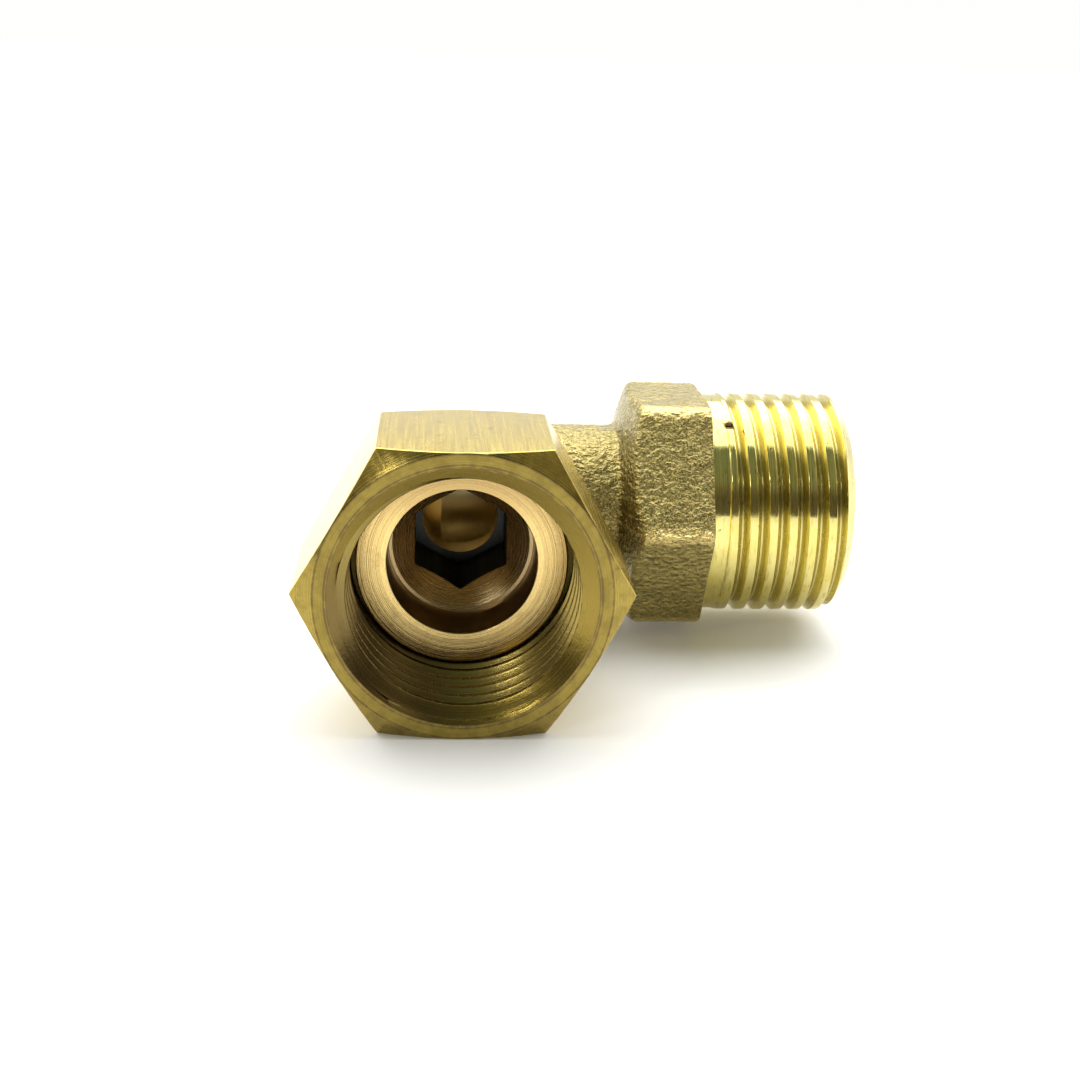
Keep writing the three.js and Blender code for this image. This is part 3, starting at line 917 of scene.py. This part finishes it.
# The camera, as the photograph was taken; the place is in millimetres
CAMERA_PLACE = Vector((-2.602, -145.124, 42.592))
CAMERA_AZIMUTH = math.radians(4.15)
CAMERA_ELEVATION = math.radians(17.81)
CAMERA_ROLL = math.radians(1.74)
CAMERA_SENSOR = 36
CAMERA_LENS = 52.41

FLOOR_LEVEL = NUT_LOW[2] - 0.02
FLOOR_REACH = 4000
FLOOR_COLOUR = (0.9, 0.9, 0.89, 1.0)

STUDIO_WHITE = (1.0, 1.0, 0.99)
ROOM_LOW = (0.105, 0.094, 0.070)
ROOM_HIGH = (0.155, 0.185, 0.135)
ROOM_SIDES = (0.48, 0.45, 0.32)


def add_floor():
    """A pale table the fitting's nut rests on; a faint glow lightens shadows near it, and far away it glows
    so no horizon shows.
    """
    corners = [(-1, -1), (1, -1), (1, 1), (-1, 1)]
    mesh = bpy.data.meshes.new("floor")
    mesh.from_pydata([(x * FLOOR_REACH * MM, y * FLOOR_REACH * MM, FLOOR_LEVEL * MM) for x, y in corners],
                     [], [(0, 1, 2, 3)])
    floor = bpy.data.objects.new("floor", mesh)
    bpy.context.scene.collection.objects.link(floor)
    shader = Shader("pale_floor", Metallic=0.0, Roughness=0.8)
    shader.set("Base Color", FLOOR_COLOUR)
    shader.set("Emission Color", (*STUDIO_WHITE, 1.0))
    far = shader.between(shader.hypot(shader.x, shader.y), 250, 900, 0.07, 1.0)
    shader.set("Emission Strength", far)
    floor.data.materials.append(shader.material)


def add_light(name, centre, aim, size, strength):
    """A rectangular soft light that shines from centre to aim; all lengths are in metres."""
    lamp = bpy.data.lights.new(name, "AREA")
    lamp.shape = "RECTANGLE"
    lamp.size, lamp.size_y = size
    lamp.energy = strength * size[0] * size[1] * math.pi
    light = bpy.data.objects.new(name, lamp)
    bpy.context.scene.collection.objects.link(light)
    light.location = centre
    light.rotation_euler = (Vector(aim) - Vector(centre)).to_track_quat("-Z", "Y").to_euler()


def add_world():
    """Plain white to the camera; to reflections, white behind the object and a room in front of it.

    The room is dark, a little lighter overhead and paler high up on either side.
    """
    world = bpy.data.worlds.new("studio")
    bpy.context.scene.world = world
    world.use_nodes = True
    nodes = Nodes(world.node_tree)
    x, y, z = nodes.split(nodes.node("ShaderNodeTexCoord").outputs["Generated"])
    room = nodes.blend(nodes.between(z, 0.40, 0.65), ROOM_LOW, ROOM_HIGH)
    sides = nodes.blend(nodes.between(z, 0.3, 0.5), room, ROOM_SIDES)
    room = nodes.blend(nodes.between(nodes.magnitude(x), 0.25, 0.5), room, sides)
    colour = nodes.blend(nodes.between(y, 0.25, -0.25), STUDIO_WHITE, room)
    seen = nodes.node("ShaderNodeLightPath").outputs["Is Camera Ray"]
    background = world.node_tree.nodes["Background"]
    nodes.feed(background.inputs["Color"], nodes.blend(seen, colour, STUDIO_WHITE))
    nodes.feed(background.inputs["Strength"], 1.0)


def add_camera():
    """The camera, at the place and angle the photograph was taken from."""
    level = math.cos(CAMERA_ELEVATION)
    forward = Vector((math.sin(CAMERA_AZIMUTH) * level, math.cos(CAMERA_AZIMUTH) * level,
                      -math.sin(CAMERA_ELEVATION)))
    right = Vector((math.cos(CAMERA_AZIMUTH), -math.sin(CAMERA_AZIMUTH), 0))
    up = right.cross(forward)
    across = right * math.cos(CAMERA_ROLL) + up * math.sin(CAMERA_ROLL)
    upright = up * math.cos(CAMERA_ROLL) - right * math.sin(CAMERA_ROLL)
    place = Matrix((across, upright, -forward)).transposed().to_4x4()
    place.translation = CAMERA_PLACE * MM
    data = bpy.data.cameras.new("camera")
    data.sensor_width = CAMERA_SENSOR
    data.lens = CAMERA_LENS
    data.clip_start = 0.005
    camera = bpy.data.objects.new("camera", data)
    bpy.context.scene.collection.objects.link(camera)
    camera.matrix_world = place
    bpy.context.scene.camera = camera


# ---- assembly -------------------------------------------------------------------------------

def add_piece(piece, node, body):
    """Puts a finished piece in a CAD node's place."""
    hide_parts(node)
    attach(piece, body)


add_camera()
add_world()
add_floor()
add_light("overhead", centre=(0, 0.02, 0.5), aim=(0, 0.02, 0), size=(1.4, 0.30), strength=1.8)
add_light("softbox", centre=(0, 0.47, 0.5), aim=(0, 0.47, 0), size=(1.4, 0.58), strength=3.3)
add_light("lamp", centre=(-0.27, -0.42, 0.33), aim=(0, 0, 0), size=(0.08, 0.08), strength=14)
bpy.context.scene.view_settings.view_transform = "Standard"

add_piece(elbow_body(), "elbow_body", "elbow")
add_piece(tail_sleeve(), "tail_sleeve", "elbow")
add_piece(tail_seal(), "tail_seal", "elbow")
add_piece(swivel_nut(), "swivel_nut", "nut")
